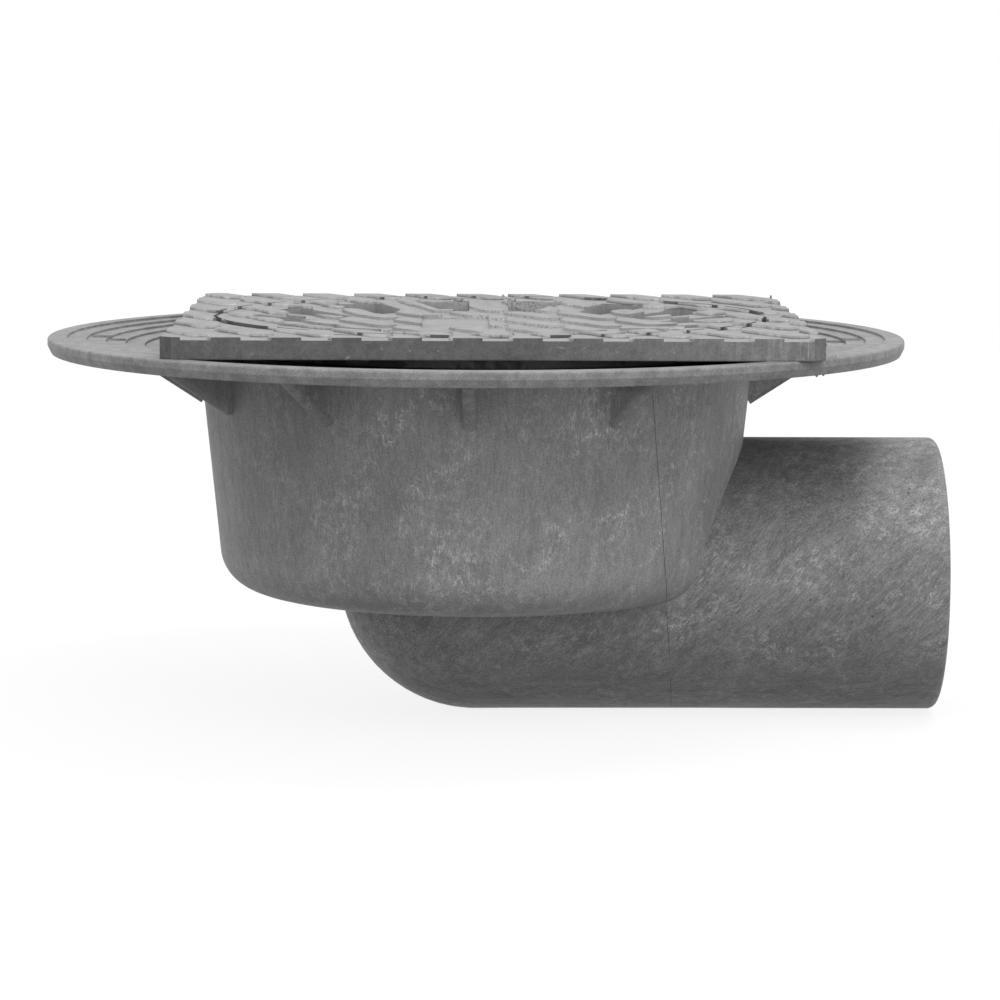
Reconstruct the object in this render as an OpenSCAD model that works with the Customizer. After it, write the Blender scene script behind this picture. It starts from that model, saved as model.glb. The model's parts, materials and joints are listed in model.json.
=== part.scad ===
// Gully trap with a flanged tub, a square cover frame, a round grate and a bell trap.
// Origin: centre of the flange in the plane of its rim. +X runs along the outlet, +Z is up.

/* [Cover frame] */
// Side of the square cover frame
cover_side = 246.8; // [225:0.2:270]
// Cut at each corner of the frame, along each side
corner_cut = 4.8; // [2:0.2:9]
// Height of the frame's skirt above the flange's rim
skirt_h = 7.2; // [6:0.2:12]
// Thickness of the skirt
skirt_wall = 3; // [2:0.2:4.5]
// Thickness of the frame's top plate
plate_t = 3.4; // [2.4:0.2:4.5]
// Narrowest width of the frame beside the grate
border_w = 12; // [9:0.5:16]
// Wall of the ring round the grate's seat
seat_wall = 2.6; // [2:0.2:3.6]
// Thickness of the ledge that carries the grate
ledge_t = 3; // [2:0.2:3.6]
// Air between the ledge and the flange below it
ledge_clear = 1.2; // [0.6:0.1:2]
// Wall of the centring collar
collar_wall = 2.5; // [2:0.1:3.5]
// Depth of the centring collar below the ledge
collar_h = 13; // [8:0.5:18]
// Play between the collar's foot and the tub's wall, with the frame in the middle
collar_play = 6.6; // [4:0.2:9]
// What is left of that play on the outlet's side, because the frame lies pushed over that way
collar_rest = 1; // [0.6:0.1:3.8]
// Thickness of the ribs under the frame's plate
frame_rib_t = 2.4; // [1.6:0.2:4]

/* [Anti-slip relief] */
// Height of the raised pads
pad_h = 1.1; // [0.4:0.1:1.4]
// Distance between pads from side to side
pad_pitch_x = 22.3; // [20:0.1:26]
// Distance between rows of pads from front to back
pad_pitch_y = 41.6; // [40:0.2:50]
// How far the pads are shifted away from the outlet
pad_shift_x = 4.6; // [0:0.2:11]
// How far the rows of pads are shifted towards the front
pad_shift_y = 7.2; // [0:0.2:20]
// Width of a pad
pad_w = 11; // [7:0.2:12]
// Length of a pad
pad_l = 38; // [30:0.5:39]
// How far the ends of a pad lean sideways
pad_lean = 7.6; // [0:0.2:9]

/* [Grate] */
// Gap between the grate and its seat
grate_gap = 1.7; // [0.8:0.1:2.5]
// Width of the grate's outer ring
ring_w = 14.7; // [11:0.1:20]
// Length of a slot, along its spokes
slot_l = 29; // [22:0.5:34]
// Number of slots
slot_count = 14; // [10:2:14]
// Width of a spoke
spoke_w = 16.4; // [10:0.2:18]
// Radius of a slot's corners
slot_corner = 1; // [0.5:0.5:4]
// How far the middle of the grate lies below its outer ring
dish_drop = 2.6; // [0.5:0.1:3.4]
// Thickness of the grate's middle
grate_t = 4.6; // [3.6:0.2:6]
// Depth of the ribs under the spokes and the middle
grate_rib_h = 7; // [4:0.5:10]
// Thickness of those ribs
grate_rib_t = 3; // [2:0.2:5]
// Length of the bare panel in the grate's middle
panel_l = 62; // [40:1:80]
// Width of that panel
panel_w = 27; // [18:1:36]
// Depth of that panel below the grate's middle
panel_deep = 0.6; // [0.3:0.1:1.2]
// How far the panel's middle lies from the grate's middle, away from the outlet
panel_off = 14; // [0:1:20]

/* [Flange] */
// How far the flange reaches past the corners of a centred frame
corner_margin = 0.2; // [0:0.1:4]
// Width of one step of the flange
step_w = 7.7; // [6.5:0.1:9]
// Drop from one step to the next
step_drop = 0.86; // [0.7:0.02:1.2]
// Thickness of the flange
flange_t = 3.6; // [2.6:0.1:5]
// Height of the rim's outer edge
rim_h = 6; // [5:0.2:9]
// Width of the rim's foot
rim_w = 4.5; // [3:0.5:6]
// How far the rim's outer face tapers in towards its foot
rim_taper = 1.5; // [0.5:0.1:2.5]
// Rounding of the rim's top edge
rim_round = 1; // [0.5:0.1:1.6]
// Fillet between the flange's underside and the tub
root_round = 3; // [1:0.5:5]

/* [Tub] */
// How much wider the tub is than the grate's seat, at the rim's height
tub_over = 0.5; // [-3:0.5:3]
// Depth of the tub from the rim to the underside of its floor
tub_deep = 101.3; // [92:0.5:125]
// Taper of the tub's wall
tub_draft = 5.9; // [3:0.1:7]
// Wall of the tub
tub_wall = 3.5; // [2.6:0.1:4.5]
// Outer radius between the tub's wall and floor
tub_corner = 16.5; // [10:0.5:22]
// Number of places for gussets round the tub
gusset_places = 12; // [8:1:14]
// Thickness of a gusset
gusset_t = 5.2; // [3:0.2:7]
// How far a gusset reaches out from the tub's wall
gusset_out = 26; // [16:1:34]
// How far a gusset runs down the tub's wall, from the rim's height
gusset_down = 25.5; // [20:0.5:34]
// Turn of the row of gussets
gusset_turn = -1.5; // [-4:0.5:4]

/* [Outlet] */
// Outer radius of the outlet spigot
pipe_r = 55; // [50:0.5:57.5]
// Wall of the outlet spigot
pipe_wall = 3.4; // [2.6:0.1:4.5]
// Distance of the spigot's axis above the underside of the tub's floor
axis_up = 5; // [0:0.5:12]
// Reach of the spigot from the tub's axis
pipe_reach = 186; // [170:1:240]
// Rounding of the spigot's end
pipe_round = 3; // [1:0.2:3.2]
// How much wider the outlet is at the tub's axis, so that it leaves its mould
pipe_draft = 0.2; // [0.1:0.1:0.8]
// How far the plain end of the spigot starts from the tub's wall
spigot_clear = 2; // [1:0.5:10]

/* [Bell trap] */
// Outer radius of the standpipe
stand_r = 31; // [26:0.5:33]
// Wall of the standpipe
stand_wall = 3; // [2.4:0.1:4]
// Height of the standpipe above the tub's floor
stand_h = 54; // [44:1:60]
// Gap for the water between standpipe and bell
bell_gap = 11; // [8:0.5:12]
// Wall of the bell
bell_wall = 2.5; // [2:0.1:3]
// Gap between the bell's edge and the tub's floor
bell_lift = 6; // [4:0.5:12]
// Air over the standpipe inside the bell
bell_air = 8; // [6:0.5:12]
// Number of spacer ribs inside the bell
spacer_count = 4; // [3:1:6]
// Thickness of a spacer rib
spacer_t = 2.4; // [1.6:0.2:4]
// Play between the spacer ribs and the standpipe
spacer_play = 0.6; // [0.3:0.1:1.2]
// Width of the bell's grip
grip_w = 38; // [30:1:50]
// Height of the bell's grip
grip_h = 15; // [11:0.5:18]
// Thickness of the bell's grip
grip_t = 4; // [3:0.5:6]
// Gap between the bell and the end of the outlet's tunnel
tunnel_gap = 7; // [4:0.5:12]

/* [Hidden] */
$fn = 96;
cut = 1;          // overrun of a cut past the face it opens
sink = 0.6;       // how deep a pad or rib sinks into what carries it
grip_over = 4;    // plastic over the finger hole in the bell's grip
grip_under = 2;   // plastic under that hole
grip_side = 6;    // plastic at either end of that hole
pad_steps = 4;    // chords in a quarter of a pad's outline

body_colour = [0.45, 0.46, 0.47];
frame_colour = [0.55, 0.56, 0.57];
grate_colour = [0.60, 0.61, 0.62];
bell_colour = [0.40, 0.41, 0.42];

// Frame, seat and grate, from the outside in
half = cover_side / 2;
seat_r = half - border_w;
seat_ring_r = seat_r + seat_wall;
grate_r = seat_r - grate_gap;

// Tub, as a cone whose wall is taken square to the axis
taper = tan(tub_draft);
tub_r = seat_r + tub_over;
function tub_out(z) = tub_r + taper * z;
function tub_in(z) = tub_out(z) - tub_wall / cos(tub_draft);
floor_low = -tub_deep;
floor_top = floor_low + tub_wall;

// Flange steps, counted inwards from the rim's land
flange_r = norm([half, half - corner_cut]) + corner_margin;
step_n = floor((flange_r - tub_in(0) - 2) / step_w);
function step_z(r) = -step_drop * min(step_n, max(0, floor((flange_r - r) / step_w)));
mouth_z = -step_drop * step_n;
flange_lean = atan(step_drop / step_w);
function flange_under(r) = -flange_t - tan(flange_lean) * (flange_r - r);

// Collar, ledge and the frame's place
cover_x = collar_play - collar_rest;
ledge_low = step_z(seat_ring_r + cover_x) + ledge_clear;
ledge_top = ledge_low + ledge_t;
collar_low = ledge_low - collar_h;
collar_r = tub_in(collar_low) - collar_play;
collar_in = collar_r - collar_wall;

// Grate
slot_out = grate_r - ring_w;
slot_in = slot_out - slot_l;
dish_r = slot_in - 2;
grate_edge_z = skirt_h;
disc_z = skirt_h - dish_drop;

// Outlet
axis_z = floor_low + axis_up;
pipe_in = pipe_r - pipe_wall;
spigot_start = tub_out(axis_z + pipe_r) + spigot_clear;

// Bell trap
stand_top = floor_top + stand_h;
stand_in = stand_r - stand_wall;
bell_in = stand_r + bell_gap;
bell_r = bell_in + bell_wall;
bell_low = floor_top + bell_lift;
bell_ceiling = stand_top + bell_air;
bell_top = bell_ceiling + bell_wall;
tunnel_x = bell_r + tunnel_gap;
hole_r = (grip_h - grip_over - grip_under) / 2;
hole_reach = grip_w / 2 - hole_r - grip_side;

// Pads to either side of the middle one that reach the cover's corners
pads_x = ceil((half + pad_shift_x + pad_lean + pad_w / 2) / pad_pitch_x);
pads_y = ceil((half + pad_shift_y + pad_l / 2) / pad_pitch_y);

// ---- shared shapes ----

// Square outline with cut corners, drawn in by a distance
module cover_outline(inset = 0) {
    h = half - inset;
    c = corner_cut - inset * (2 - sqrt(2));
    polygon([[-h + c, -h], [h - c, -h], [h, -h + c], [h, h - c],
             [h - c, h], [-h + c, h], [-h, h - c], [-h, -h + c]]);
}

// One side of a pad, from its near end to its far end
function pad_side(side, from, to, step) = [
    for (i = [from:step:to])
        let (u = sin(90 * i / pad_steps), end = sqrt(1 - pow(abs(u), 6)))
        [-pad_lean * sin(90 * u) + side * pad_w / 2 * end, pad_l / 2 * u]
];

// A pad leans like a wave, so that rows of them look woven
module pad() polygon(concat(pad_side(1, 1 - pad_steps, pad_steps, 1),
                            pad_side(-1, pad_steps - 1, -pad_steps, -1)));

// Straight rows of pads, as far as they touch a ring round the middle
module pads(z, h, r_low, r_high) {
    for (i = [-pads_x:pads_x], j = [-pads_y:pads_y]) {
        x = i * pad_pitch_x - pad_shift_x;
        y = j * pad_pitch_y - pad_shift_y;
        near = norm([x, y]);
        if (near > r_low - pad_l / 2 && near < r_high + pad_l / 2)
            translate([x, y, z]) linear_extrude(h) pad();
    }
}

// ---- gully body ----

// Outline of a cone-walled cup, with a true round between wall and floor
module cup_profile(wall_r, corner, low, high) {
    centre_z = low + corner;
    centre_r = wall_r + taper * centre_z - corner / cos(tub_draft);
    polygon([
        [0, low], [centre_r, low],
        [centre_r + corner * cos(tub_draft), centre_z - corner * sin(tub_draft)],
        [wall_r + taper * high, high], [0, high]
    ]);
    translate([centre_r, centre_z]) circle(corner);
}

// Stepped top of the flange, its even underside and its rim
module flange_profile() {
    steps = [for (i = [1:step_n], side = [0, 1])
        [flange_r - i * step_w, -step_drop * (i - 1 + side)]];
    foot_r = flange_r - rim_taper - rim_w;
    root_r = tub_in(mouth_z) - cut;
    polygon(concat(
        [[root_r, mouth_z - cut], [root_r, mouth_z]],
        [for (i = [len(steps) - 1:-1:0]) steps[i]],
        [[flange_r - rim_round, 0], [flange_r, -rim_round], [flange_r, -rim_h / 2],
         [flange_r - rim_taper, -rim_h], [foot_r, -rim_h], [foot_r, flange_under(foot_r)],
         [root_r + 3 * cut, flange_under(root_r)]]
    ));
    translate([flange_r - rim_round, -rim_round]) circle(rim_round);
}

// Fillet in the corner between the flange's underside and the tub's wall
module root_fillet() {
    wall_out = [cos(tub_draft), -sin(tub_draft)];
    under_out = [sin(flange_lean), -cos(flange_lean)];
    corner_r = (tub_r + taper * flange_under(0)) / (1 - taper * tan(flange_lean));
    corner = [corner_r, flange_under(corner_r)];
    centre = corner + root_round * (wall_out + under_out) / (1 + wall_out * under_out);
    difference() {
        polygon([corner - sink * (wall_out + under_out),
                 centre - (root_round + sink) * wall_out, centre - root_round * wall_out, centre,
                 centre - root_round * under_out, centre - (root_round + sink) * under_out]);
        translate(centre) circle(root_round);
    }
}

// A rib between flange and tub with a round nose along its sloping edge
module gusset() {
    foot = [tub_out(-gusset_down), -gusset_down];
    top_r = tub_out(0) + gusset_out;
    top = [top_r, step_z(top_r) - flange_t];
    run = top - foot;
    lean = atan2(run[1], run[0]);
    rotate([90, 0, 0]) linear_extrude(gusset_t, center = true)
        polygon([foot - [tub_wall / 2, 0], foot, top, top + [0, 1], [foot[0] - tub_wall / 2, mouth_z - 1]]);
    translate([foot[0], 0, foot[1]]) rotate([0, 90 - lean, 0])
        cylinder(r = gusset_t / 2, h = norm(run));
}

module gussets() {
    for (i = [0:gusset_places - 1]) {
        turn = 360 * i / gusset_places;
        // the slides of the mould leave none on either side of the outlet
        if (abs(turn - 180) != 180 - 360 / gusset_places)
            rotate([0, 0, turn + (turn == 0 || turn == 180 ? 0 : gusset_turn)]) gusset();
    }
}

// Outlet from the tub's axis outwards: a heel, a barrel with draft and the plain, rounded spigot
module spigot_outside() {
    heel_r = pipe_r + pipe_draft;
    translate([0, 0, axis_z]) {
        sphere(heel_r);
        rotate([0, 90, 0]) rotate_extrude() {
            polygon([[0, 0], [heel_r, 0], [pipe_r, spigot_start], [pipe_r, pipe_reach - pipe_round],
                     [pipe_r - pipe_round, pipe_reach], [0, pipe_reach]]);
            translate([pipe_r - pipe_round, pipe_reach - pipe_round]) circle(pipe_round);
        }
    }
}

// The water's way from the standpipe to the spigot's mouth
module spigot_inside() {
    translate([0, 0, axis_z]) {
        intersection() {
            union() {
                sphere(pipe_in);
                rotate([0, 90, 0]) cylinder(r = pipe_in, h = tunnel_x + pipe_wall + cut);
            }
            translate([-pipe_r, -pipe_r, -pipe_r - cut])
                cube([2 * pipe_reach, 2 * pipe_r, pipe_r + cut + floor_low - axis_z]);
        }
        translate([tunnel_x + pipe_wall, 0, 0]) rotate([0, 90, 0])
            cylinder(r = pipe_in, h = pipe_reach);
    }
}

module gully_body() {
    color(body_colour) difference() {
        union() {
            difference() {
                union() {
                    rotate_extrude() cup_profile(tub_r, tub_corner, floor_low, mouth_z - cut);
                    rotate_extrude() flange_profile();
                    rotate_extrude() root_fillet();
                    gussets();
                    spigot_outside();
                }
                rotate_extrude() cup_profile(tub_r - tub_wall / cos(tub_draft), tub_corner - tub_wall,
                                             floor_top, 2 * pipe_r);
            }
            // the tunnel: the upper half of the outlet where it crosses the tub
            intersection() {
                translate([tunnel_x, 0, axis_z]) rotate([0, 90, 0])
                    cylinder(r = pipe_r, h = tub_r - tunnel_x);
                rotate_extrude() cup_profile(tub_r - tub_wall / 2, tub_corner - tub_wall / 2,
                                             floor_low + tub_wall / 2, mouth_z - cut);
            }
            translate([0, 0, floor_low + tub_wall / 2])
                cylinder(r = stand_r, h = stand_h + tub_wall / 2);
        }
        spigot_inside();
        translate([0, 0, floor_low - cut]) cylinder(r = stand_in, h = stand_h + tub_wall + 2 * cut);
    }
}

// ---- cover frame ----

module frame_ribs() {
    // straight ribs from the seat ring to the skirt's cut corners
    for (turn = [0:45:315]) {
        reach = turn % 90 == 0 ? half - skirt_wall / 2 : norm([half, half]) - corner_cut;
        rotate([0, 0, turn]) translate([seat_r + seat_wall / 2, -frame_rib_t / 2, skirt_h / 4])
            cube([reach - seat_r - seat_wall / 2 - skirt_wall / 2, frame_rib_t,
                  skirt_h * 3 / 4 - plate_t / 2]);
    }
}

module cover_frame() {
    color(frame_colour) translate([cover_x, 0, 0]) {
        difference() {
            union() {
                linear_extrude(skirt_h) cover_outline();
                intersection() {
                    pads(skirt_h - sink, pad_h + sink, seat_r, norm([half, half]));
                    linear_extrude(2 * skirt_h + pad_h) cover_outline();
                }
            }
            difference() {
                translate([0, 0, -cut]) linear_extrude(skirt_h - plate_t + cut) cover_outline(skirt_wall);
                translate([0, 0, -2 * cut]) cylinder(r = seat_ring_r, h = skirt_h);
                frame_ribs();
            }
            translate([0, 0, -cut]) cylinder(r = seat_r, h = skirt_h + pad_h + 2 * cut);
        }
        difference() {
            union() {
                translate([0, 0, ledge_low]) cylinder(r = seat_ring_r, h = skirt_h / 2 - ledge_low);
                translate([0, 0, collar_low]) cylinder(r = collar_r, h = collar_h + cut);
            }
            translate([0, 0, ledge_top]) cylinder(r = seat_r, h = skirt_h);
            translate([0, 0, collar_low - cut]) cylinder(r = collar_in, h = collar_h + ledge_t + 3 * cut);
        }
    }
}

// ---- round grate ----

// Top of the grate from its middle out, raised by a height
function grate_top(rise) = [
    [0, disc_z + rise], [dish_r, disc_z + rise],
    [slot_out + 2, grate_edge_z + rise], [grate_r, grate_edge_z + rise]
];

// One slot between two spokes, with true round corners
module slot() {
    half_pitch = 180 / slot_count;
    module wedge(inset, low, high) {
        // both sides stay parallel to their spokes
        d = spoke_w / 2 + inset;
        near = sqrt(low * low - d * d);
        far = sqrt(high * high - d * d);
        function side(s, along) = let (a = s * half_pitch)
            [along * cos(a) + s * d * sin(a), along * sin(a) - s * d * cos(a)];
        intersection() {
            polygon([side(1, near - spoke_w), side(1, far + spoke_w), side(-1, far + spoke_w),
                     side(-1, near - spoke_w)]);
            difference() {
                circle(high);
                circle(low);
            }
        }
    }
    wedge(0, slot_in + slot_corner, slot_out - slot_corner);
    wedge(slot_corner, slot_in, slot_out);
    for (s = [-1, 1], r = [slot_in + slot_corner, slot_out - slot_corner]) {
        turn = half_pitch - asin((spoke_w / 2 + slot_corner) / r);
        rotate(s * turn) translate([r, 0]) circle(slot_corner);
    }
}

module slots() {
    for (i = [0:slot_count - 1])
        rotate([0, 0, i * 360 / slot_count])
            translate([0, 0, disc_z - 2 * grate_rib_h]) linear_extrude(4 * grate_rib_h) slot();
}

module round_grate() {
    rib_low = disc_z - grate_t - grate_rib_h;
    color(grate_colour) translate([cover_x, 0, 0]) difference() {
        union() {
            rotate_extrude() polygon(concat(grate_top(0), [
                [grate_r, ledge_top], [collar_in + 3 * collar_wall, ledge_top],
                [slot_out + 2, disc_z - grate_t], [0, disc_z - grate_t]
            ]));
            intersection() {
                pads(disc_z - 2 * sink, 3 * skirt_h, 0, grate_r);
                rotate_extrude() polygon(concat(grate_top(pad_h), [
                    [grate_r, grate_edge_z - sink], [slot_out + 2, grate_edge_z - sink],
                    [dish_r, disc_z - sink], [0, disc_z - sink]
                ]));
            }
            // a ring rib under the middle and one rib under each spoke
            translate([0, 0, rib_low]) difference() {
                cylinder(r = dish_r, h = grate_rib_h + cut);
                translate([0, 0, -cut]) cylinder(r = dish_r - grate_rib_t, h = grate_rib_h + 3 * cut);
            }
            for (i = [0:slot_count - 1]) rotate([0, 0, 360 * (i + 0.5) / slot_count])
                translate([dish_r - grate_rib_t / 2, -grate_rib_t / 2, rib_low])
                    cube([collar_in - 2 - dish_r, grate_rib_t, grate_rib_h + cut]);
        }
        slots();
        translate([-panel_off - panel_w / 2, -panel_l / 2, disc_z - panel_deep])
            cube([panel_w, panel_l, skirt_h]);
    }
}

// ---- bell trap ----

module trap_bell() {
    color(bell_colour) {
        difference() {
            union() {
                translate([0, 0, bell_low]) cylinder(r = bell_r, h = bell_top - bell_low);
                translate([-grip_w / 2, -grip_t / 2, bell_ceiling])
                    cube([grip_w, grip_t, bell_wall + grip_h]);
            }
            difference() {
                translate([0, 0, bell_low - cut]) cylinder(r = bell_in, h = bell_ceiling - bell_low + cut);
                bell_spacers();
            }
            // finger hole in the grip
            translate([0, 0, bell_top + grip_under]) rotate([90, 0, 0])
                linear_extrude(2 * grip_t, center = true) {
                    for (s = [-1, 1]) translate([s * hole_reach, hole_r]) circle(hole_r);
                    translate([-hole_reach, 0]) square([2 * hole_reach, 2 * hole_r]);
                }
        }
    }
}

// Ribs that centre the bell and hold it up on the standpipe's rim
module bell_spacers() {
    low = bell_low + 2 * bell_lift;
    for (i = [0:spacer_count - 1]) rotate([0, 0, 45 + 360 * i / spacer_count]) difference() {
        translate([stand_in, -spacer_t / 2, low])
            cube([bell_in - stand_in + cut, spacer_t, bell_ceiling - low + cut]);
        translate([0, -spacer_t, low - cut])
            cube([stand_r + spacer_play, 2 * spacer_t, stand_top - low + cut]);
    }
}

gully_body();
cover_frame();
round_grate();
trap_bell();
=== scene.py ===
"""Looks of a gully trap: recycled plastic mouldings on a pale studio floor, in soft light."""

import json
import math
import random
import bmesh
import bpy
from mathutils import Matrix, Vector


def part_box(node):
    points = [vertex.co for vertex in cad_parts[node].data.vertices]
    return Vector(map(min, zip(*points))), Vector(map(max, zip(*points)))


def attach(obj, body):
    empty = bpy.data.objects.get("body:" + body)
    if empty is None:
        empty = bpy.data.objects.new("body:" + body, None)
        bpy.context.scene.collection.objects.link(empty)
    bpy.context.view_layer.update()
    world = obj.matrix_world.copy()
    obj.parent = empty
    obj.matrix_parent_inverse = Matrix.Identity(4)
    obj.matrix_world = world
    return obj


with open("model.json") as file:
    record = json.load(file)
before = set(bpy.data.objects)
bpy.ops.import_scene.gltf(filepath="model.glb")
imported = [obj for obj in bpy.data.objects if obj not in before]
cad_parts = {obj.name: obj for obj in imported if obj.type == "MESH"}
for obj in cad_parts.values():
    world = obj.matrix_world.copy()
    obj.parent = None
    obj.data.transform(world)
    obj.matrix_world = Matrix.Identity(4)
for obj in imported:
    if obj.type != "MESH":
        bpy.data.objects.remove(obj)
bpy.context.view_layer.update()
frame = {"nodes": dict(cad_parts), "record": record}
nodes = frame["nodes"]

MM = 0.001

# Places that the frame gives
body_low, body_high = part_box("gully_body")
cover_low, cover_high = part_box("cover_frame")
grate_low, grate_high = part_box("round_grate")
bell_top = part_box("trap_bell")[1].z
mounts = {mount["name"]: mount for mount in frame["record"]["mounts"]}
outlet = mounts["outlet_spigot"]
axis_z = outlet["pos_m"][2]
pipe_r = outlet["dims"]["r_mm"] * MM
floor_z = body_low.z
cover_x = (cover_low.x + cover_high.x) / 2
cover_half = (cover_high.x - cover_low.x) / 2
grate_half = (grate_high.x - grate_low.x) / 2

# The tub's underside is a little under the outlet's axis, and the outlet's sides leave its wall at OUTLET_X
TUB_UNDER_AXIS = 5 * MM
OUTLET_X = 84 * MM
tub_floor = axis_z - TUB_UNDER_AXIS

# The flange begins at this radius, and its underside stays above FLANGE_LOW
FLANGE_FROM = 113 * MM
FLANGE_LOW = -14 * MM

# The mould's halves meet in a plane that crosses the body beside the outlet and leans outwards
PARTING_X = 65 * MM
PARTING_LEAN = 0.091

# The cover's cut corners, and the height of the plate that carries its raised pattern
CORNER_CUT = 4.8 * MM
PLATE_TOP = 7.2 * MM

# The grate's plate is a dish: flat and DISH_DROP low out to DISH_FLAT, then rising to the cover's plate.
# Its slots end at SLOT_OUT, and walls under SLOT_TOP are taken as theirs
DISH_FLAT = 64.0 * MM
DISH_DROP = 2.6 * MM
SLOT_OUT = 95 * MM
SLOT_TOP = 6.9 * MM
DISH_RIM = SLOT_OUT + 2 * MM

# How the plastic flowed in the mould: upright on the tub, leaning on the outlet, nearly level at its foot,
# with patches everywhere that lean more
TUB_LEAN = 0.0
PIPE_LEAN = math.radians(40)
FOOT_LEAN = math.radians(80)
PATCH_LEAN = math.radians(35)

# Width and length of the streaks, of the patches that hold threads, of the threads, of the scuffs on the
# skirt, and of the gaps in the seam
FINE_STREAK, BROAD_STREAK = (0.7 * MM, 5 * MM), (4 * MM, 22 * MM)
PATCH = (16 * MM, 34 * MM)
LONG_THREAD, SHORT_THREAD = (1.1 * MM, 5.5 * MM), (1.8 * MM, 3.5 * MM)
SCUFF = (1.2 * MM, 14 * MM)
SEAM_GAP = (9 * MM, 12 * MM)
SHORT_THREAD_LEAN = 0.3

# How large the patches of each unevenness are, from the broadest to the finest
BODY_CLOUDS, BODY_MOTTLE, BODY_GRAIN = 40 * MM, 5 * MM, 0.55 * MM
COVER_CLOUDS, COVER_MOTTLE, COVER_GRAIN = 24 * MM, 3.5 * MM, 0.8 * MM
BELL_CLOUDS, BELL_GRAIN = 33 * MM, 1.1 * MM
WORN_PATCH, THREAD_GAP, SLOT_GRAIN = 13 * MM, 3.5 * MM, 0.9 * MM

# How far the streaks, the grain and the mottle take the tone up and down from 1
TUB_STREAKS, OUTLET_STREAKS = 0.18, 0.34
TUB_GRAIN, OUTLET_GRAIN = 0.20, 0.25
FLANGE_MOTTLE = 0.18

# Spots: their size, their spacing, and the share of places that hold one
BODY_PITS, OUTLET_PITS = (0.5 * MM, 9 * MM, 0.10), (0.6 * MM, 5 * MM, 0.14)
COVER_PITS = (0.7 * MM, 6 * MM, 0.06)
SMALL_SPECKS, BIG_SPECKS = (0.7 * MM, 3 * MM, 0.20), (1.1 * MM, 12 * MM, 0.12)

# Pale flow marks on the tub, and scratches on the skirt: x and z in mm, lean in radians, length in mm
FLOW_MARKS = [(74.5, -51.0, -0.15, 16), (76.5, -79.0, 0.05, 14), (71.0, -66.0, 0.0, 10)]
SCRATCHES = [(-48.2, 0.9, 1.05, 3.4), (30.8, 4.8, 1.75, 4.6), (-25.2, 3.5, 0.0, 1.1), (-14.8, 3.5, 0.0, 1.1),
             (72.3, 3.0, 0.0, 1.2), (122.0, 3.6, 0.0, 12)]
FLOW_MARK_WIDTH = 1.6 * MM
SCRATCH_WIDTH = 1.1 * MM

# Shares of light that each plastic gives back, the flange's against the body's, and how strong its gloss is
BODY_TONE, FLANGE_TONE = 0.275, 1.10
COVER_TONE, SKIRT_TONE, GRATE_TONE, BELL_TONE = 0.39, 0.145, 0.39, 0.17
BODY_GLOSS, COVER_GLOSS = 0.4, 0.35

# How much each mark adds to its plastic's tone, and how much of the tone it takes away; among them are the
# painted light on the tub's right, the painted highlight on the cover's corner edges, and the painted shade
# on the outlet's crown, near the floor, on the cut corners, in the grate's seat, under the cover and on the
# grate's rim wall
TUB_THREADS_ADD, OUTLET_THREADS_ADD, RIGHT_LIGHT_ADDS, FLOW_MARKS_ADD = 0.75, 0.9375, 0.28, 0.22
SPECKS_ADD, SCUFFS_ADD, LOWER_EDGE_ADDS, CORNER_HIGHLIGHT_ADDS, SCRATCHES_ADD = 0.6, 0.5, 0.9, 0.5, 1.2
PITS_TAKE, SEAM_TAKES, CROWN_SHADE_TAKES, FOOT_SHADE_TAKES = 0.55, 0.65, 0.30, 0.14
COVER_PITS_TAKE, SEAT_SHADE_TAKES, UNDER_COVER_SHADE_TAKES, CHAMFER_SHADE_TAKES = 0.4, 0.5, 0.7, 0.2
SLOT_GRAINS_TAKE, GRATE_RIM_SHADE_TAKES = 0.45, 0.65

# The skirt has more contrast than the top, and grows paler towards its right end
SKIRT_CONTRAST, SKIRT_RIGHT_END = 1.6, 1.65

# Depth of every bump, and how round the edges look on the body and the bell, and on the cover
BUMP_DEPTH = 0.15 * MM
BODY_ROUNDING, COVER_ROUNDING = 0.5 * MM, 1.0 * MM

# Nearly all of a noise lies between these two values, around its middle
NOISE_LOW, NOISE_MIDDLE, NOISE_HIGH = 0.3, 0.5, 0.7


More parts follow.
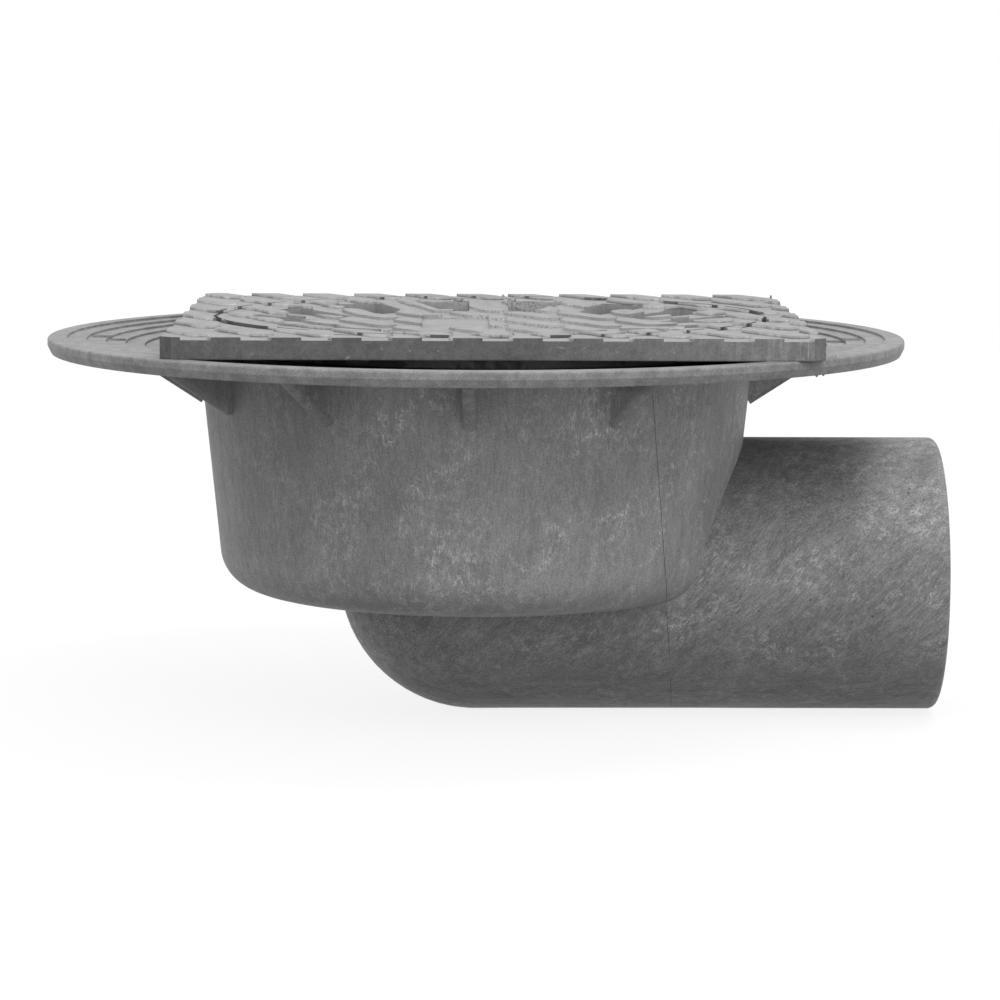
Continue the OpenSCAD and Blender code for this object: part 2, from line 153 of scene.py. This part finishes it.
class Finish:
    """A material and short calls that each add a node to it and return its output"""

    def __init__(self, name, gloss):
        self.material = bpy.data.materials.new(name)
        self.material.use_nodes = True
        self.tree = self.material.node_tree
        self.shader = self.tree.nodes["Principled BSDF"]
        self.shader.inputs["Specular IOR Level"].default_value = gloss
        self.place = self.put("TexCoord", out="Object")
        self.x, self.y, self.z = (self.put("SeparateXYZ", [self.place], out=axis) for axis in "XYZ")

    def put(self, kind, values=(), out=0, **settings):
        node = self.tree.nodes.new("ShaderNode" + kind)
        for name, value in settings.items():
            setattr(node, name, value)
        pairs = values.items() if isinstance(values, dict) else enumerate(values)
        for key, value in pairs:
            self.feed(node.inputs[key], value)
        return node.outputs[out]

    def feed(self, socket, value):
        if isinstance(value, bpy.types.NodeSocket):
            self.tree.links.new(value, socket)
        else:
            socket.default_value = value

    def maths(self, operation, *values):
        return self.put("Math", values, operation=operation)

    def minus(self, value, taken):
        return self.maths("SUBTRACT", value, taken)

    def times(self, *values):
        product = values[0]
        for value in values[1:]:
            product = self.maths("MULTIPLY", product, value)
        return product

    def plus(self, *values):
        total = values[0]
        for value in values[1:]:
            total = self.maths("ADD", total, value)
        return total

    def without(self, share, strength=1.0):
        """1 where share is 0, less by strength where it is 1"""
        return self.minus(1.0, self.maths("MULTIPLY", share, strength))

    def band(self, value, low, high, out_low=0.0, out_high=1.0):
        """value taken smoothly from low..high to out_low..out_high"""
        return self.put("MapRange", [value, low, high, out_low, out_high], interpolation_type="SMOOTHSTEP")

    def vary(self, noise, low, high):
        """Noise taken to low..high"""
        return self.band(noise, NOISE_LOW, NOISE_HIGH, low, high)

    def around_one(self, noise, spread):
        """Noise taken to 1 plus or minus spread"""
        return self.vary(noise, self.minus(1.0, spread), self.maths("ADD", 1.0, spread))

    def blend(self, share, first, second):
        """first where share is 0, second where it is 1"""
        return self.plus(self.times(first, self.minus(1.0, share)), self.times(second, share))

    def stripe(self, value, middle, half_width):
        """1 where value is middle, falling to 0 at half_width on both sides"""
        return self.band(self.maths("ABSOLUTE", self.minus(value, middle)), half_width, 0.0)

    def radius(self, middle_x=0.0):
        """How far a point lies from the upright axis at middle_x"""
        across = self.minus(self.x, middle_x)
        return self.maths("SQRT", self.plus(self.times(across, across), self.times(self.y, self.y)))

    def noise(self, place, size, detail=3.0, rough=0.5):
        """Noise whose patches are about size across"""
        return self.put("TexNoise", {"Vector": place, "Scale": 1 / size,
                                     "Detail": detail, "Roughness": rough})

    def swirled(self, size, reach):
        """Coordinates pushed about by slow noise, so that streaks drawn on them bend"""
        slow = self.put("TexNoise", {"Vector": self.place, "Scale": 1 / size, "Detail": 2.0}, out="Color")
        centred = self.put("VectorMath", [slow, (NOISE_MIDDLE,) * 3], operation="SUBTRACT")
        push = self.put("VectorMath", {0: centred, "Scale": reach}, operation="SCALE")
        return self.put("VectorMath", [self.place, push], operation="ADD")

    def drawn_out(self, place, lean, width, length, detail=3.0):
        """Noise in streaks of that width and length, which lean from upright towards +X"""
        size = (width, width, length)
        turned = self.put("Mapping", {"Vector": place, "Rotation": (0, lean, 0), "Scale": size},
                          vector_type="TEXTURE")
        return self.put("TexNoise", {"Vector": turned, "Scale": 1.0, "Detail": detail, "Roughness": 0.6})

    def threads(self, place, lean, width, length):
        """Thin broken curls, along which drawn-out noise crosses its middle value"""
        curls = self.stripe(self.drawn_out(place, lean, width, length, detail=2.5), NOISE_MIDDLE, 0.045)
        return self.times(curls, self.band(self.noise(place, THREAD_GAP, detail=2.0), 0.42, 0.62))

    def spots(self, size, spacing, share):
        """1 inside round spots, in the given share of the cells of a Voronoi pattern"""
        cells = {"Vector": self.place, "Scale": 1 / spacing, "Randomness": 1.0}
        radius = size / spacing
        inside = self.band(self.put("TexVoronoi", cells, out="Distance"), radius, radius / 2)
        chance = self.put("SeparateColor", [self.put("TexVoronoi", cells, out="Color")])
        return self.times(inside, self.maths("LESS_THAN", chance, share))

    def mark(self, x, z, lean, length, width):
        """1 in the middle of a soft stroke on an upright face, which leans from upright towards +X"""
        across, up = self.minus(self.x, x), self.minus(self.z, z)
        along = self.plus(self.times(across, math.sin(lean)), self.times(up, math.cos(lean)))
        aside = self.plus(self.times(across, math.cos(lean)), self.times(up, -math.sin(lean)))
        return self.times(self.stripe(along, 0.0, length / 2), self.stripe(aside, 0.0, width / 2))

    def marks(self, rows, width):
        """All the strokes of a table with x and z in mm, lean and length in mm"""
        return self.plus(*(self.mark(x * MM, z * MM, lean, length * MM, width)
                           for x, z, lean, length in rows))

    def colour(self, value):
        self.feed(self.shader.inputs["Base Color"], self.put("CombineColor", [value, value, value]))

    def roughness(self, value):
        self.feed(self.shader.inputs["Roughness"], value)

    def relief(self, height, strength, rounding):
        """Bumps on a face whose edges look rounded"""
        soft = self.put("Bevel", {"Radius": rounding}, samples=4)
        depth = {"Strength": strength, "Distance": BUMP_DEPTH}
        bump = self.put("Bump", {**depth, "Height": height, "Normal": soft})
        self.feed(self.shader.inputs["Normal"], bump)


# ---- the body's plastic ----

def flow(f, place, lean):
    """Recycled plastic that flowed one way, as (streaks, threads), each about 0 to 1"""
    streaks = f.plus(f.times(f.drawn_out(place, lean, *FINE_STREAK), 0.6),
                     f.times(f.drawn_out(place, lean, *BROAD_STREAK), 0.4))
    patches = f.band(f.drawn_out(place, lean + PATCH_LEAN, *PATCH, detail=5.0), 0.38, 0.66)
    curls = f.plus(f.threads(place, lean, *LONG_THREAD),
                   f.threads(place, lean - SHORT_THREAD_LEAN, *SHORT_THREAD))
    return streaks, f.times(curls, patches)


def body_parts(f):
    """Where a point of the body lies, as (in_pipe, on_outlet, near_floor, on_flange), each 0 to 1"""
    below_tub = f.band(f.z, tub_floor + 2 * MM, tub_floor - 2 * MM)
    from_axis = f.maths("SQRT", f.plus(f.times(f.y, f.y), f.maths("POWER", f.minus(f.z, axis_z), 2.0)))
    in_pipe = f.times(f.band(from_axis, pipe_r + 0.8 * MM, pipe_r + 0.3 * MM),
                      f.band(f.x, OUTLET_X - 4 * MM, OUTLET_X))
    on_outlet = f.maths("MAXIMUM", in_pipe, below_tub)
    near_floor = f.band(f.z, floor_z + 30 * MM, floor_z + 8 * MM)
    on_flange = f.times(f.band(f.radius(), FLANGE_FROM, FLANGE_FROM + 3 * MM),
                        f.band(f.z, FLANGE_LOW, FLANGE_LOW + 2 * MM))
    return in_pipe, on_outlet, near_floor, on_flange


def body_flow(f, place, on_outlet, near_floor, on_flange):
    """(streaks, threads) of the whole body, with fewer threads to the left and none on the flange"""
    tub_streaks, tub_threads = flow(f, place, TUB_LEAN)
    pipe_streaks, pipe_threads = flow(f, place, PIPE_LEAN)
    foot_streaks, foot_threads = flow(f, place, FOOT_LEAN)
    streaks = f.blend(on_outlet, tub_streaks, f.blend(near_floor, pipe_streaks, foot_streaks))
    threads = f.blend(on_outlet, tub_threads, f.blend(near_floor, pipe_threads, foot_threads))
    fewer_left = f.band(f.x, -105 * MM, -45 * MM, 0.15, 1.0)
    return streaks, f.times(threads, fewer_left, f.without(on_flange))


def parting_seam(f, on_flange):
    """The thin line that the mould's parting plane leaves round the body, broken here and there"""
    parting = f.plus(f.x, f.times(f.z, PARTING_LEAN))
    broken = f.band(f.drawn_out(f.place, 0.0, *SEAM_GAP, detail=2.0), 0.30, 0.45)
    return f.times(f.stripe(parting, PARTING_X, 0.3 * MM), broken, f.without(on_flange))


def body_painted_light_and_marks(f, in_pipe, on_outlet, on_flange):
    """Factors on the tone: painted shade at the foot and on the outlet's crown under the flange, painted
    light towards the tub's right, and pale flow marks
    """
    # Painted shade: the body grows darker towards the floor it stands on
    foot_shade_painted = f.band(f.z, floor_z + 45 * MM, floor_z)
    # Painted shade on the outlet's crown next to the tub, where the flange's shadow falls
    crown_shade_painted = f.times(in_pipe, f.band(f.z, axis_z + 25 * MM, axis_z + 48 * MM),
                          f.band(f.x, body_high.x - 22 * MM, body_high.x - 48 * MM))
    # Painted light: the tub grows paler towards its right, where the lamps fall more strongly
    right_light_painted = f.times(f.band(f.x, -95 * MM, 25 * MM), f.without(on_outlet), f.without(on_flange))
    flow_marks = f.marks(FLOW_MARKS, FLOW_MARK_WIDTH)
    return (f.without(foot_shade_painted, FOOT_SHADE_TAKES), f.without(crown_shade_painted, CROWN_SHADE_TAKES),
            f.plus(f.times(right_light_painted, RIGHT_LIGHT_ADDS), 0.95), f.plus(f.times(flow_marks, FLOW_MARKS_ADD), 1.0))


def finish_body():
    """Body: recycled plastic, upright streaks on the tub, slanting ones on the outlet, a granular rim"""
    f = Finish("recycled_body_plastic", BODY_GLOSS)
    in_pipe, on_outlet, near_floor, on_flange = body_parts(f)
    place = f.swirled(size=60 * MM, reach=9 * MM)
    streaks, threads = body_flow(f, place, on_outlet, near_floor, on_flange)
    seam = parting_seam(f, on_flange)
    clouds = f.noise(place, BODY_CLOUDS, detail=4.0, rough=0.55)
    mottle = f.noise(f.place, BODY_MOTTLE, rough=0.6)
    grain = f.noise(f.place, BODY_GRAIN, detail=2.0, rough=0.6)
    pits = f.plus(f.spots(*BODY_PITS), f.times(on_outlet, f.spots(*OUTLET_PITS)))

    streaky = f.around_one(streaks, f.blend(on_outlet, TUB_STREAKS, OUTLET_STREAKS))
    skin = f.blend(on_flange, streaky, f.around_one(mottle, FLANGE_MOTTLE))
    grainy = f.around_one(grain, f.blend(on_outlet, TUB_GRAIN, OUTLET_GRAIN))
    tone = f.times(f.vary(clouds, 0.88, 1.12), skin, grainy)
    tone = f.plus(tone, f.times(threads, f.blend(on_outlet, TUB_THREADS_ADD, OUTLET_THREADS_ADD)))
    tone = f.times(tone, f.without(pits, PITS_TAKE), f.without(seam, SEAM_TAKES),
                   f.blend(on_flange, 1.0, FLANGE_TONE), *body_painted_light_and_marks(f, in_pipe, on_outlet, on_flange))
    height = f.plus(f.times(streaks, f.without(on_flange, 0.8)), f.times(grain, 0.3), f.times(mottle, 0.4),
                    f.times(threads, 0.5), f.times(pits, -2.0), f.times(seam, -2.0))
    f.colour(f.times(tone, BODY_TONE))
    f.roughness(f.vary(streaks, 0.60, 0.46))
    f.relief(height, strength=0.35, rounding=BODY_ROUNDING)
    return f.material


# ---- the plastic of the cover and its grate ----

def granular(f):
    """Matt moulded skin that the cover and its grate share, as (tone, height), the tone about 1"""
    clouds = f.noise(f.swirled(size=50 * MM, reach=6 * MM), COVER_CLOUDS, detail=4.0, rough=0.6)
    mottle = f.noise(f.place, COVER_MOTTLE, rough=0.55)
    grain = f.noise(f.place, COVER_GRAIN, rough=0.65)
    pits = f.spots(*COVER_PITS)
    tone = f.times(f.vary(clouds, 0.93, 1.07), f.vary(mottle, 0.93, 1.07), f.vary(grain, 0.90, 1.10),
                   f.without(pits, COVER_PITS_TAKE))
    height = f.plus(f.times(grain, 0.6), f.times(mottle, 0.6), f.times(pits, -1.2))
    f.roughness(f.vary(mottle, 0.72, 0.60))
    return tone, height


def upright(f):
    """1 on walls, 0 on faces that look up or down"""
    facing = f.put("SeparateXYZ", [f.put("TexCoord", out="Normal")], out="Z")
    return f.band(f.maths("ABSOLUTE", facing), 0.6, 0.3)


def outward(f, across):
    """1 on walls that face away from the middle, from which each point lies across in x"""
    normal = f.put("TexCoord", out="Normal")
    normal_x, normal_y = (f.put("SeparateXYZ", [normal], out=axis) for axis in "XY")
    return f.band(f.plus(f.times(normal_x, across), f.times(normal_y, f.y)), 20 * MM, 40 * MM)


def relief_wear_and_painted_light(f, edges, rise):
    """A factor that pales the relief's edges, partly as painted light that lifts walls the lamps light less
    and partly as wear, more where feet have worn them, and darkens their foot with painted shade
    """
    worn = f.band(f.noise(f.place, WORN_PATCH, rough=0.6), 0.44, 0.56)
    # Painted shade: a thin dark line at the foot of each relief wall
    foot = f.times(edges, f.band(rise, 0.60 * MM, 0.30 * MM), f.without(worn, 0.6))
    # Partly painted light on every wall, partly wear where feet have rubbed the edges
    pale = f.times(edges, f.plus(f.times(worn, 0.50), 0.22))
    return f.times(f.plus(pale, 1.0), f.without(foot, 0.50))


def cover_skirt(f, across, from_middle):
    """The cover's outer walls, as (skirt, chamfer): all of them, and the cut ones at its corners"""
    from_middle_y = f.maths("ABSOLUTE", f.y)
    cut_sum = 2 * cover_half - CORNER_CUT
    chamfer = f.band(f.plus(from_middle, from_middle_y), cut_sum - 0.5 * MM, cut_sum - 0.2 * MM)
    outermost = f.maths("MAXIMUM", from_middle, from_middle_y)
    sides = f.band(outermost, cover_half - 0.3 * MM, cover_half - 0.1 * MM)
    return f.times(f.maths("MAXIMUM", chamfer, sides), outward(f, across)), chamfer


def skirt_wear_and_highlight(f, from_middle):
    """Pale marks on the skirt: specks, a paler lower edge, a painted highlight along the edge where each cut
    corner begins, scratches, and scuffs towards its right end
    """
    specks = f.plus(f.spots(*SMALL_SPECKS), f.spots(*BIG_SPECKS))
    scuffs = f.times(f.band(f.drawn_out(f.place, 0.0, *SCUFF), 0.45, 0.65),
                     f.band(f.x, cover_x + 0.35 * cover_half, cover_x + 0.95 * cover_half))
    lower_edge = f.band(f.z, cover_low.z + 0.7 * MM, cover_low.z + 0.2 * MM)
    # Painted highlight along the edge where each cut corner begins
    corner_highlight = f.stripe(from_middle, cover_half - CORNER_CUT, 0.5 * MM)
    scratches = f.marks(SCRATCHES, SCRATCH_WIDTH)
    return f.plus(f.times(specks, SPECKS_ADD), f.times(scuffs, SCUFFS_ADD),
                  f.times(lower_edge, LOWER_EDGE_ADDS), f.times(corner_highlight, CORNER_HIGHLIGHT_ADDS),
                  f.times(scratches, SCRATCHES_ADD))


def finish_cover_frame():
    """Cover frame: chalky top, and a darker skirt with pale specks and scuffs towards its right end; painted
    shade in the grate's seat, under the cover and on the cut corners, and a painted highlight on the
    corners' edges
    """
    f = Finish("cover_frame_plastic", COVER_GLOSS)
    tone, height = granular(f)
    across = f.minus(f.x, cover_x)
    from_middle = f.maths("ABSOLUTE", across)
    skirt, chamfer = cover_skirt(f, across, from_middle)
    stronger = f.plus(f.times(tone, SKIRT_CONTRAST), 1.0 - SKIRT_CONTRAST)
    paler_right = f.band(f.x, cover_x - 0.1 * cover_half, cover_x + cover_half, 1.0, SKIRT_RIGHT_END)
    skirt_tone = f.plus(f.times(stronger, paler_right), skirt_wear_and_highlight(f, from_middle))
    # Painted shade on the faces of the cut corners
    skirt_tone = f.times(skirt_tone, f.without(chamfer, CHAMFER_SHADE_TAKES))

    walls = upright(f)
    # Walls of the seat round the grate, which get painted shade for the gap between the two parts
    seat = f.band(f.radius(cover_x), grate_half + 3.2 * MM, grate_half + 2.8 * MM)
    edges = f.times(walls, f.without(seat))
    # The cover's lowest parts, below its skirt, which get painted shade for the dark gap over the tub's
    # mouth
    underside = f.band(f.z, 1.0 * MM, 0.2 * MM)
    top_tone = f.times(tone, f.without(f.times(seat, walls), SEAT_SHADE_TAKES),
                       f.without(underside, UNDER_COVER_SHADE_TAKES), relief_wear_and_painted_light(f, edges, f.minus(f.z, PLATE_TOP)))
    f.colour(f.blend(skirt, f.times(top_tone, COVER_TONE), f.times(skirt_tone, SKIRT_TONE)))
    f.relief(f.times(height, f.without(skirt, 0.6)), strength=0.4, rounding=COVER_ROUNDING)
    return f.material


def finish_grate():
    """Grate: the same chalky plastic, with dark grains and painted light on the walls of its slots, and
    painted shade on its outer rim wall
    """
    f = Finish("round_grate_plastic", COVER_GLOSS)
    tone, height = granular(f)
    walls = upright(f)
    from_middle = f.radius(cover_x)
    in_slots = f.times(walls, f.band(from_middle, DISH_RIM, DISH_RIM - 1 * MM),
                       f.band(f.z, SLOT_TOP, SLOT_TOP - 0.3 * MM))
    near_middle = f.stripe(f.minus(f.x, cover_x), 8 * MM, 45 * MM)
    fine = f.noise(f.place, SLOT_GRAIN, detail=2.0, rough=0.6)
    grains = f.times(in_slots, f.band(fine, 0.50, 0.60), near_middle)
    # The grate's outer rim wall, which gets painted shade for the gap to the cover's seat
    rim = f.times(walls, f.band(from_middle, grate_half - 0.5 * MM, grate_half - 0.2 * MM))
    edges = f.times(walls, f.without(in_slots), f.without(rim))
    dish = f.put("MapRange", [from_middle, DISH_FLAT, DISH_RIM, PLATE_TOP - DISH_DROP, PLATE_TOP])
    # Painted light: the slot walls near the middle are made paler, as if lit
    slot_walls_painted_light = f.plus(f.times(in_slots, near_middle, 0.5), 1.0)
    f.colour(f.times(tone, f.without(grains, SLOT_GRAINS_TAKE), slot_walls_painted_light, f.without(rim, GRATE_RIM_SHADE_TAKES),
                     relief_wear_and_painted_light(f, edges, f.minus(f.z, dish)), GRATE_TONE))
    f.relief(f.plus(height, f.times(grains, -0.8)), strength=0.4, rounding=COVER_ROUNDING)
    return f.material


def finish_bell():
    """Bell: dark wet-side plastic, darker below a tide line"""
    f = Finish("bell_plastic", BODY_GLOSS)
    clouds = f.noise(f.place, BELL_CLOUDS, detail=4.0, rough=0.6)
    grain = f.noise(f.place, BELL_GRAIN, rough=0.6)
    above_tide = f.band(f.plus(f.z, f.times(clouds, 6 * MM)), bell_top - 22 * MM, bell_top - 18 * MM)
    tone = f.times(f.vary(clouds, 0.85, 1.12), f.vary(grain, 0.93, 1.07),
                   f.band(above_tide, 0.0, 1.0, 0.85, 1.0))
    f.colour(f.times(tone, BELL_TONE))
    f.roughness(f.vary(clouds, 0.6, 0.45))
    f.relief(f.plus(grain, f.times(clouds, 0.5)), strength=0.3, rounding=BODY_ROUNDING)
    return f.material


def dress(name, material):
    """Gives a CAD node its material, in a slot of its own"""
    node = nodes[name]
    node.data.materials.clear()
    node.data.materials.append(material)


# ---- flash, burrs and stops left by the mould ----

# Burrs, in mm: name, foot, tip, width, seed. Flash on the flange's rim and drips under it
RIM_BURRS = [
    ("rim_flash", (132.6, -107.0, -0.9), (134.2, -105.0, 0.9), 2.4, 3),
    ("rim_flake", (131.0, -108.6, -1.0), (131.4, -108.8, 0.3), 2.0, 4),
    ("rim_drip_1", (126.2, -112.7, -5.3), (126.3, -112.8, -6.7), 2.2, 5),
    ("rim_drip_2", (129.0, -109.5, -5.3), (129.0, -109.6, -6.6), 1.8, 6),
    ("rim_nick", (82.8, -147.6, -5.2), (82.9, -148.2, -6.5), 1.8, 7),
]
# Torn gates on the cover's back edge
BACK_GATES = [
    ("back_gate_1", (12.2, 122.0, 6.6), (12.4, 122.1, 8.2), 2.4, 8),
    ("back_gate_2", (-17.6, 122.6, 6.6), (-17.7, 122.7, 8.2), 0.9, 9),
]

# A burr's sides, the width of each ring above its foot as a share of the foot's, and how uneven a ring is
BURR_SIDES = 10
BURR_RINGS = (0.8, 0.55, 0.2)
BURR_UNEVEN = (0.75, 1.25)
BURR_BEVEL = 0.05 * MM

# Stops on the second and third terrace of the flange: middle in x, front in y, foot in z, in mm
FLANGE_STOPS = [(-150.7, 2.5, -1.72), (-144.8, -3.0, -2.58), (145.3, -1.5, -2.58), (150.6, -1.7, -1.72)]
STOP_WIDTH, STOP_DEPTH, STOP_HEIGHT = 7.5 * MM, 7 * MM, 0.85 * MM
STOP_SUNK = 0.4 * MM
STOP_BEVEL = 0.12 * MM
# Edges that turn by more than this, in radians, are bevelled
SHARP_TURN = 1.2

# Vertices nearer than this, in metres, become one
MERGE_DISTANCE = 1e-6


def add_piece(name, shape, material):
    """Turns a finished bmesh into an object that belongs to the model"""
    bmesh.ops.remove_doubles(shape, verts=shape.verts, dist=MERGE_DISTANCE)
    bmesh.ops.recalc_face_normals(shape, faces=shape.faces)
    mesh = bpy.data.meshes.new(name)
    shape.to_mesh(mesh)
    shape.free()
    mesh.materials.append(material)
    piece = bpy.data.objects.new(name, mesh)
    bpy.context.scene.collection.objects.link(piece)
    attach(piece, "root")


def drawn_verts(shape, faces):
    """Extrudes faces and returns the new vertices, which still lie on the old ones"""
    drawn = bmesh.ops.extrude_face_region(shape, geom=faces)["geom"]
    return [item for item in drawn if isinstance(item, bmesh.types.BMVert)]


def add_burr(name, foot, tip, width, seed, material, slot):
    """A torn lump that narrows from its foot to its tip through uneven rings"""
    chance = random.Random(seed)
    foot, tip = Vector(foot) * MM, Vector(tip) * MM
    turn = (tip - foot).to_track_quat("Z", "X").to_matrix().to_4x4()
    shape = bmesh.new()
    bmesh.ops.create_circle(shape, cap_ends=True, segments=BURR_SIDES, radius=width * MM / 2)
    for share in BURR_RINGS:
        top = max(shape.faces, key=lambda face: face.calc_center_median().z)
        is_sole = len(shape.faces) == 1
        ring = drawn_verts(shape, [top])
        # The first face stays as the closed sole, and each later one would be a wall inside the lump
        if not is_sole:
            bmesh.ops.delete(shape, geom=[top], context="FACES_ONLY")
        for vert in ring:
            spread = share * width * MM / 2 * chance.uniform(*BURR_UNEVEN)
            flat = Vector((vert.co.x, vert.co.y, 0)).normalized() * spread
            vert.co = Vector((flat.x, flat.y, vert.co.z + (tip - foot).length / len(BURR_RINGS)))
    bmesh.ops.bevel(shape, geom=shape.edges[:], offset=BURR_BEVEL, segments=1, profile=0.5, affect="EDGES",
                    material=-1)
    bmesh.ops.transform(shape, matrix=Matrix.Translation(foot) @ turn, verts=shape.verts)
    add_piece(name, shape, material)


def is_sharp(edge):
    """Whether an edge is an open one or turns by more than SHARP_TURN"""
    return edge.is_boundary or edge.calc_face_angle(0) > SHARP_TURN


def add_stop(name, x, y, foot, material):
    """A moulded stop on the flange: a low wedge with an upright front and a top that runs back to nothing"""
    shape = bmesh.new()
    bmesh.ops.create_grid(shape, x_segments=4, y_segments=3, size=0.5)
    raised = drawn_verts(shape, shape.faces[:])
    for vert in shape.verts:
        back = vert.co.y + 0.5
        rise = (1.0 - back) * STOP_HEIGHT if vert in raised else -STOP_SUNK
        vert.co = Vector((x * MM + vert.co.x * STOP_WIDTH, y * MM + back * STOP_DEPTH, foot * MM + rise))
    sharp = [edge for edge in shape.edges if is_sharp(edge)]
    bmesh.ops.bevel(shape, geom=sharp, offset=STOP_BEVEL, segments=2, profile=0.5, affect="EDGES",
                    material=-1)
    add_piece(name, shape, material)


# ---- studio ----

# The camera's place, its turns in degrees, its lens and sensor in mm, and how far it sees in metres
CAMERA_AT = Vector((-8.3, -1474.5, 114.2)) * MM
CAMERA_YAW = 0.703
CAMERA_PITCH = 7.005
CAMERA_ROLL = 0.2344
LENS, SENSOR_WIDTH = 132.16, 36
FARTHEST_SEEN = 20

# The floor's half side, its paint and its glow to the camera, and the white world's strength on the object
FLOOR_HALF = 12
FLOOR_PAINT = (0.2, 0.2, 0.2, 1)
FLOOR_GLOW = 0.85
WORLD_FILL = 0.78
WHITE = (1, 1, 1, 1)

# Lamps, in metres and watts: name, place, target, width, height, power
TRAP_MIDDLE = (0, 0, -0.05)
LAMPS = [
    ("overhead", (0.5, -0.15, 1.2), (0.08, 0, -0.05), 0.3, 0.3, 2.4),
    ("high_front", (0.1, -1.25, 1.2), TRAP_MIDDLE, 0.9, 0.7, 5.2),
    ("low_front", (0.5, -2.4, 0.0), TRAP_MIDDLE, 1.0, 0.6, 4.5),
]


def make_camera():
    """A long lens that looks slightly down at the front of the trap"""
    lens = bpy.data.cameras.new("camera")
    lens.sensor_width = SENSOR_WIDTH
    lens.lens = LENS
    lens.clip_end = FARTHEST_SEEN
    camera = bpy.data.objects.new("camera", lens)
    bpy.context.scene.collection.objects.link(camera)
    camera.matrix_world = (
        Matrix.Translation(CAMERA_AT)
        @ Matrix.Rotation(math.radians(-CAMERA_YAW), 4, "Z")
        @ Matrix.Rotation(math.radians(90 - CAMERA_PITCH), 4, "X")
        @ Matrix.Rotation(math.radians(CAMERA_ROLL), 4, "Z")
    )
    bpy.context.scene.camera = camera


def soft_lamp(name, place, target, width, height, watts):
    """A rectangular lamp that faces its target and isn't seen itself"""
    lamp = bpy.data.lights.new(name, "AREA")
    lamp.shape = "RECTANGLE"
    lamp.size, lamp.size_y = width, height
    lamp.energy = watts
    holder = bpy.data.objects.new(name, lamp)
    holder.visible_camera = False
    bpy.context.scene.collection.objects.link(holder)
    towards = Vector(target) - Vector(place)
    holder.matrix_world = Matrix.Translation(place) @ towards.to_track_quat("-Z", "Y").to_matrix().to_4x4()


def seen_directly(tree):
    """1 for what the camera or a reflection sees, 0 for the light that surfaces gather"""
    path = tree.nodes.new("ShaderNodeLightPath")
    share = path.outputs["Is Camera Ray"]
    for other in ("Is Glossy Ray", "Is Transmission Ray"):
        either = tree.nodes.new("ShaderNodeMath")
        either.operation = "MAXIMUM"
        tree.links.new(share, either.inputs[0])
        tree.links.new(path.outputs[other], either.inputs[1])
        share = either.outputs[0]
    return share


def make_surroundings():
    """A world that is white to look at and a little weaker as light on the object"""
    world = bpy.data.worlds.new("studio")
    bpy.context.scene.world = world
    world.use_nodes = True
    tree = world.node_tree
    lit = tree.nodes["Background"]
    lit.inputs["Color"].default_value = WHITE
    strength = tree.nodes.new("ShaderNodeMapRange")
    tree.links.new(seen_directly(tree), strength.inputs["Value"])
    strength.inputs["To Min"].default_value = WORLD_FILL
    strength.inputs["To Max"].default_value = 1.0
    tree.links.new(strength.outputs[0], lit.inputs["Strength"])


def floor_paint():
    """Matt grey paint that glows nearly white to the camera, so that only shadows show on it"""
    paint = bpy.data.materials.new("studio_floor")
    paint.use_nodes = True
    tree = paint.node_tree
    matt = tree.nodes["Principled BSDF"]
    matt.inputs["Base Color"].default_value = FLOOR_PAINT
    matt.inputs["Roughness"].default_value = 1.0
    matt.inputs["Specular IOR Level"].default_value = 0.0
    matt.inputs["Emission Color"].default_value = WHITE
    glow = tree.nodes.new("ShaderNodeMath")
    glow.operation = "MULTIPLY"
    glow.inputs[1].default_value = FLOOR_GLOW
    tree.links.new(seen_directly(tree), glow.inputs[0])
    tree.links.new(glow.outputs[0], matt.inputs["Emission Strength"])
    return paint


def make_floor():
    """A level floor far larger than the view, on which the outlet lies"""
    mesh = bpy.data.meshes.new("studio_floor")
    shape = bmesh.new()
    bmesh.ops.create_grid(shape, x_segments=1, y_segments=1, size=FLOOR_HALF)
    bmesh.ops.translate(shape, verts=shape.verts, vec=(0, 0, floor_z))
    shape.to_mesh(mesh)
    shape.free()
    mesh.materials.append(floor_paint())
    floor = bpy.data.objects.new("studio_floor", mesh)
    bpy.context.scene.collection.objects.link(floor)


body_plastic, frame_plastic = finish_body(), finish_cover_frame()
dress("gully_body", body_plastic)
dress("cover_frame", frame_plastic)
dress("round_grate", finish_grate())
dress("trap_bell", finish_bell())

for burr in RIM_BURRS:
    add_burr(*burr, body_plastic, "body_plastic")
for burr in BACK_GATES:
    add_burr(*burr, frame_plastic, "frame_plastic")
for number, (x, y, foot) in enumerate(FLANGE_STOPS, 1):
    add_stop("flange_stop_%d" % number, x, y, foot, body_plastic)

make_camera()
make_surroundings()
make_floor()
for lamp in LAMPS:
    soft_lamp(*lamp)

bpy.context.scene.view_settings.view_transform = "Standard"
